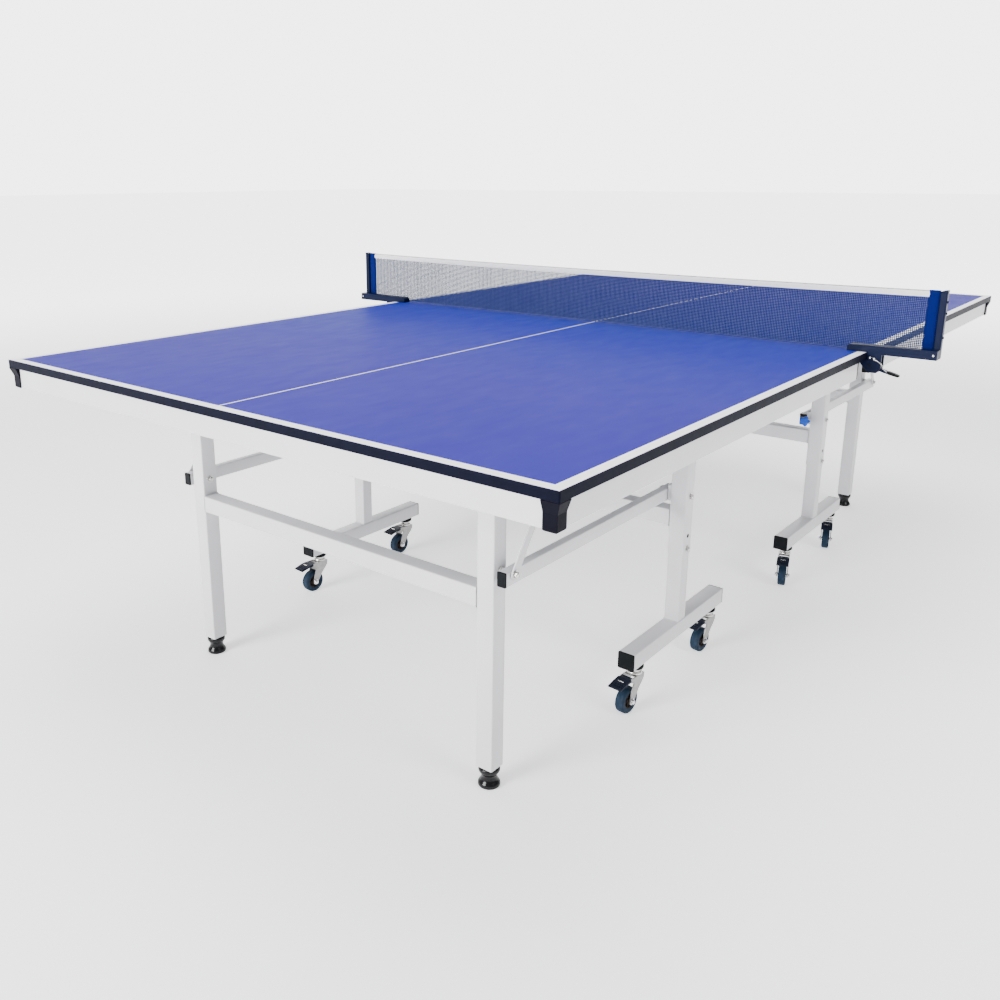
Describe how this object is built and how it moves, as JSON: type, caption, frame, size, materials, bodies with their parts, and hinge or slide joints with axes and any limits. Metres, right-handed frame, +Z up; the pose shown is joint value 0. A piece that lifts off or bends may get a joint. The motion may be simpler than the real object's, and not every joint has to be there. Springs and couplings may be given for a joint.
{
  "type": "table tennis table",
  "caption": "Folding table tennis table in two rolling halves, with parallelogram legs, braked casters, levelling feet and a clamp-on net.",
  "frame": {"origin": "on the floor at the middle of the table, under the net", "axes": "+X along the table's length from half a to half b, +Y across it along the net, +Z up"},
  "size_m": [2.74, 1.83, 0.915],
  "materials": {
    "playing_surface": "satin blue sports lacquer on board",
    "edge_band": "semi-gloss navy",
    "frame_paint": "light grey-white powder coat",
    "zinc_plate": "zinc-plated pressed steel",
    "caster_tyre": "slate-navy moulded tyre on a grey-brown hub",
    "brake_pedal": "dark navy moulded plastic",
    "foot_plastic": "glossy black",
    "knob_plastic": "blue moulded plastic",
    "net_mesh": "blue-grey knotted mesh",
    "net_tape": "white woven tape",
    "navy_paint": "dark navy powder coat",
    "lever_plastic": "black moulded plastic"
  },
  "bodies": {
    "base_a": {"wheel_frame_a": "frame_paint", "wheel_leg_a_left": "frame_paint", "wheel_leg_a_right": "frame_paint"},
    "top_a": {"table_top_a": "playing_surface", "under_frame_a": "frame_paint", "corner_cap_a_left": "edge_band", "corner_cap_a_right": "edge_band", "net_mesh": "net_mesh", "net_tape": "net_tape", "net_post_left": "navy_paint", "net_post_right": "navy_paint"},
    "legs_a": {"end_frame_a": "frame_paint"},
    "links_a": {"link_bar_a_left": "frame_paint", "link_bar_a_right": "frame_paint"},
    "stays_a": {"stay_a_left": "frame_paint", "stay_a_right": "frame_paint"},
    "foot_a_left": {"levelling_foot_a_left": "foot_plastic"},
    "caster_a_left_outer": {"caster_fork_a_left_outer": "zinc_plate"},
    "wheel_a_left_outer": {"caster_wheel_a_left_outer": "caster_tyre"},
    "brake_a_left_outer": {"caster_brake_a_left_outer": "brake_pedal"},
    "caster_a_left_inner": {"caster_fork_a_left_inner": "zinc_plate"},
    "wheel_a_left_inner": {"caster_wheel_a_left_inner": "caster_tyre"},
    "brake_a_left_inner": {"caster_brake_a_left_inner": "brake_pedal"},
    "foot_a_right": {"levelling_foot_a_right": "foot_plastic"},
    "caster_a_right_outer": {"caster_fork_a_right_outer": "zinc_plate"},
    "wheel_a_right_outer": {"caster_wheel_a_right_outer": "caster_tyre"},
    "brake_a_right_outer": {"caster_brake_a_right_outer": "brake_pedal"},
    "caster_a_right_inner": {"caster_fork_a_right_inner": "zinc_plate"},
    "wheel_a_right_inner": {"caster_wheel_a_right_inner": "caster_tyre"},
    "brake_a_right_inner": {"caster_brake_a_right_inner": "brake_pedal"},
    "knob_a": {"star_knob_a": "knob_plastic"},
    "base_b": {"wheel_frame_b": "frame_paint", "wheel_leg_b_left": "frame_paint", "wheel_leg_b_right": "frame_paint"},
    "top_b": {"table_top_b": "playing_surface", "under_frame_b": "frame_paint", "corner_cap_b_left": "edge_band", "corner_cap_b_right": "edge_band"},
    "legs_b": {"end_frame_b": "frame_paint"},
    "links_b": {"link_bar_b_left": "frame_paint", "link_bar_b_right": "frame_paint"},
    "stays_b": {"stay_b_left": "frame_paint", "stay_b_right": "frame_paint"},
    "foot_b_left": {"levelling_foot_b_left": "foot_plastic"},
    "caster_b_left_outer": {"caster_fork_b_left_outer": "zinc_plate"},
    "wheel_b_left_outer": {"caster_wheel_b_left_outer": "caster_tyre"},
    "brake_b_left_outer": {"caster_brake_b_left_outer": "brake_pedal"},
    "caster_b_left_inner": {"caster_fork_b_left_inner": "zinc_plate"},
    "wheel_b_left_inner": {"caster_wheel_b_left_inner": "caster_tyre"},
    "brake_b_left_inner": {"caster_brake_b_left_inner": "brake_pedal"},
    "foot_b_right": {"levelling_foot_b_right": "foot_plastic"},
    "caster_b_right_outer": {"caster_fork_b_right_outer": "zinc_plate"},
    "wheel_b_right_outer": {"caster_wheel_b_right_outer": "caster_tyre"},
    "brake_b_right_outer": {"caster_brake_b_right_outer": "brake_pedal"},
    "caster_b_right_inner": {"caster_fork_b_right_inner": "zinc_plate"},
    "wheel_b_right_inner": {"caster_wheel_b_right_inner": "caster_tyre"},
    "brake_b_right_inner": {"caster_brake_b_right_inner": "brake_pedal"},
    "knob_b": {"star_knob_b": "knob_plastic"},
    "clamp_left": {"clamp_lever_left": "lever_plastic"},
    "clamp_right": {"clamp_lever_right": "lever_plastic"}
  },
  "joints": [
    {"name": "fold_a", "type": "hinge", "parent": "base_a", "child": "top_a", "pos_m": [-0.4, 0, 0.716], "axis": [0, 1, 0], "range_deg": [0, 90], "deforming": ["net_mesh", "net_tape"]},
    {"name": "legs_fold_a", "type": "hinge", "parent": "top_a", "child": "legs_a", "pos_m": [-1.025, 0, 0.716], "axis": [0, 1, 0], "range_deg": [-90, 0]},
    {"name": "links_turn_a", "type": "hinge", "parent": "base_a", "child": "links_a", "pos_m": [-0.454, 0, 0.465], "axis": [0, 1, 0], "range_deg": [0, 90]},
    {"name": "stays_turn_a", "type": "hinge", "parent": "legs_a", "child": "stays_a", "pos_m": [-1.079, 0, 0.465], "axis": [0, 1, 0], "range_deg": [0, 135]},
    {"name": "foot_screw_a_left", "type": "slide", "parent": "legs_a", "child": "foot_a_left", "axis": [0, 0, -1], "range_m": [0, 0.015]},
    {"name": "swivel_a_left_outer", "type": "hinge", "parent": "base_a", "child": "caster_a_left_outer", "pos_m": [-0.642, 0.5145, 0.1], "axis": [0, 0, 1], "continuous": true},
    {"name": "roll_a_left_outer", "type": "hinge", "parent": "caster_a_left_outer", "child": "wheel_a_left_outer", "pos_m": [-0.66989, 0.51694, 0.031], "axis": [0.0872, 0.9962, 0], "continuous": true},
    {"name": "brake_press_a_left_outer", "type": "hinge", "parent": "caster_a_left_outer", "child": "brake_a_left_outer", "pos_m": [-0.6689, 0.51685, 0.084], "axis": [-0.0872, -0.9962, 0], "range_deg": [0, 12]},
    {"name": "swivel_a_left_inner", "type": "hinge", "parent": "base_a", "child": "caster_a_left_inner", "pos_m": [-0.266, 0.5145, 0.1], "axis": [0, 0, 1], "continuous": true},
    {"name": "roll_a_left_inner", "type": "hinge", "parent": "caster_a_left_inner", "child": "wheel_a_left_inner", "pos_m": [-0.29389, 0.51694, 0.031], "axis": [0.0872, 0.9962, 0], "continuous": true},
    {"name": "brake_press_a_left_inner", "type": "hinge", "parent": "caster_a_left_inner", "child": "brake_a_left_inner", "pos_m": [-0.2929, 0.51685, 0.084], "axis": [-0.0872, -0.9962, 0], "range_deg": [0, 12]},
    {"name": "foot_screw_a_right", "type": "slide", "parent": "legs_a", "child": "foot_a_right", "axis": [0, 0, -1], "range_m": [0, 0.015]},
    {"name": "swivel_a_right_outer", "type": "hinge", "parent": "base_a", "child": "caster_a_right_outer", "pos_m": [-0.642, -0.5145, 0.1], "axis": [0, 0, 1], "continuous": true},
    {"name": "roll_a_right_outer", "type": "hinge", "parent": "caster_a_right_outer", "child": "wheel_a_right_outer", "pos_m": [-0.66989, -0.51206, 0.031], "axis": [0.0872, 0.9962, 0], "continuous": true},
    {"name": "brake_press_a_right_outer", "type": "hinge", "parent": "caster_a_right_outer", "child": "brake_a_right_outer", "pos_m": [-0.6689, -0.51215, 0.084], "axis": [-0.0872, -0.9962, 0], "range_deg": [0, 12]},
    {"name": "swivel_a_right_inner", "type": "hinge", "parent": "base_a", "child": "caster_a_right_inner", "pos_m": [-0.266, -0.5145, 0.1], "axis": [0, 0, 1], "continuous": true},
    {"name": "roll_a_right_inner", "type": "hinge", "parent": "caster_a_right_inner", "child": "wheel_a_right_inner", "pos_m": [-0.29389, -0.51206, 0.031], "axis": [0.0872, 0.9962, 0], "continuous": true},
    {"name": "brake_press_a_right_inner", "type": "hinge", "parent": "caster_a_right_inner", "child": "brake_a_right_inner", "pos_m": [-0.2929, -0.51215, 0.084], "axis": [-0.0872, -0.9962, 0], "range_deg": [0, 12]},
    {"name": "knob_turn_a", "type": "hinge", "parent": "base_a", "child": "knob_a", "pos_m": [-0.4, 0.48975, 0.46], "axis": [1, 0, 0], "continuous": true},
    {"name": "halves_apart", "type": "slide", "parent": "base_a", "child": "base_b", "axis": [1, 0, 0], "range_m": [0, 0.5]},
    {"name": "fold_b", "type": "hinge", "parent": "base_b", "child": "top_b", "pos_m": [0.4, 0, 0.716], "axis": [0, -1, 0], "range_deg": [0, 90]},
    {"name": "legs_fold_b", "type": "hinge", "parent": "top_b", "child": "legs_b", "pos_m": [1.025, 0, 0.716], "axis": [0, -1, 0], "range_deg": [-90, 0]},
    {"name": "links_turn_b", "type": "hinge", "parent": "base_b", "child": "links_b", "pos_m": [0.454, 0, 0.465], "axis": [0, -1, 0], "range_deg": [0, 90]},
    {"name": "stays_turn_b", "type": "hinge", "parent": "legs_b", "child": "stays_b", "pos_m": [1.079, 0, 0.465], "axis": [0, -1, 0], "range_deg": [0, 135]},
    {"name": "foot_screw_b_left", "type": "slide", "parent": "legs_b", "child": "foot_b_left", "axis": [0, 0, -1], "range_m": [0, 0.015]},
    {"name": "swivel_b_left_outer", "type": "hinge", "parent": "base_b", "child": "caster_b_left_outer", "pos_m": [0.642, -0.5145, 0.1], "axis": [0, 0, 1], "continuous": true},
    {"name": "roll_b_left_outer", "type": "hinge", "parent": "caster_b_left_outer", "child": "wheel_b_left_outer", "pos_m": [0.61522, -0.52269, 0.031], "axis": [-0.2924, 0.9563, 0], "continuous": true},
    {"name": "brake_press_b_left_outer", "type": "hinge", "parent": "caster_b_left_outer", "child": "brake_b_left_outer", "pos_m": [0.61618, -0.52239, 0.084], "axis": [0.2924, -0.9563, 0], "range_deg": [0, 12]},
    {"name": "swivel_b_left_inner", "type": "hinge", "parent": "base_b", "child": "caster_b_left_inner", "pos_m": [0.266, -0.5145, 0.1], "axis": [0, 0, 1], "continuous": true},
    {"name": "roll_b_left_inner", "type": "hinge", "parent": "caster_b_left_inner", "child": "wheel_b_left_inner", "pos_m": [0.23922, -0.52269, 0.031], "axis": [-0.2924, 0.9563, 0], "continuous": true},
    {"name": "brake_press_b_left_inner", "type": "hinge", "parent": "caster_b_left_inner", "child": "brake_b_left_inner", "pos_m": [0.24018, -0.52239, 0.084], "axis": [0.2924, -0.9563, 0], "range_deg": [0, 12]},
    {"name": "foot_screw_b_right", "type": "slide", "parent": "legs_b", "child": "foot_b_right", "axis": [0, 0, -1], "range_m": [0, 0.015]},
    {"name": "swivel_b_right_outer", "type": "hinge", "parent": "base_b", "child": "caster_b_right_outer", "pos_m": [0.642, 0.5145, 0.1], "axis": [0, 0, 1], "continuous": true},
    {"name": "roll_b_right_outer", "type": "hinge", "parent": "caster_b_right_outer", "child": "wheel_b_right_outer", "pos_m": [0.61522, 0.50631, 0.031], "axis": [-0.2924, 0.9563, 0], "continuous": true},
    {"name": "brake_press_b_right_outer", "type": "hinge", "parent": "caster_b_right_outer", "child": "brake_b_right_outer", "pos_m": [0.61618, 0.50661, 0.084], "axis": [0.2924, -0.9563, 0], "range_deg": [0, 12]},
    {"name": "swivel_b_right_inner", "type": "hinge", "parent": "base_b", "child": "caster_b_right_inner", "pos_m": [0.266, 0.5145, 0.1], "axis": [0, 0, 1], "continuous": true},
    {"name": "roll_b_right_inner", "type": "hinge", "parent": "caster_b_right_inner", "child": "wheel_b_right_inner", "pos_m": [0.23922, 0.50631, 0.031], "axis": [-0.2924, 0.9563, 0], "continuous": true},
    {"name": "brake_press_b_right_inner", "type": "hinge", "parent": "caster_b_right_inner", "child": "brake_b_right_inner", "pos_m": [0.24018, 0.50661, 0.084], "axis": [0.2924, -0.9563, 0], "range_deg": [0, 12]},
    {"name": "knob_turn_b", "type": "hinge", "parent": "base_b", "child": "knob_b", "pos_m": [0.4, -0.48975, 0.46], "axis": [1, 0, 0], "continuous": true},
    {"name": "clamp_open_left", "type": "hinge", "parent": "top_a", "child": "clamp_left", "pos_m": [-0.0195, 0.778, 0.727], "axis": [1, 0, 0], "range_deg": [0, 15], "stiffness_Nm_per_rad": 0.3, "springref_deg": -17.19},
    {"name": "clamp_open_right", "type": "hinge", "parent": "top_a", "child": "clamp_right", "pos_m": [-0.0195, -0.778, 0.727], "axis": [-1, 0, 0], "range_deg": [0, 15], "stiffness_Nm_per_rad": 0.3, "springref_deg": -17.19}
  ],
  "couplings": [
    {"joint": "legs_fold_a", "follows": "fold_a", "ratio": -1},
    {"joint": "links_turn_a", "follows": "fold_a", "ratio": 1},
    {"joint": "stays_turn_a", "follows": "fold_a", "ratio": 1.4983},
    {"joint": "legs_fold_b", "follows": "fold_b", "ratio": -1},
    {"joint": "links_turn_b", "follows": "fold_b", "ratio": 1},
    {"joint": "stays_turn_b", "follows": "fold_b", "ratio": 1.4983}
  ]
}
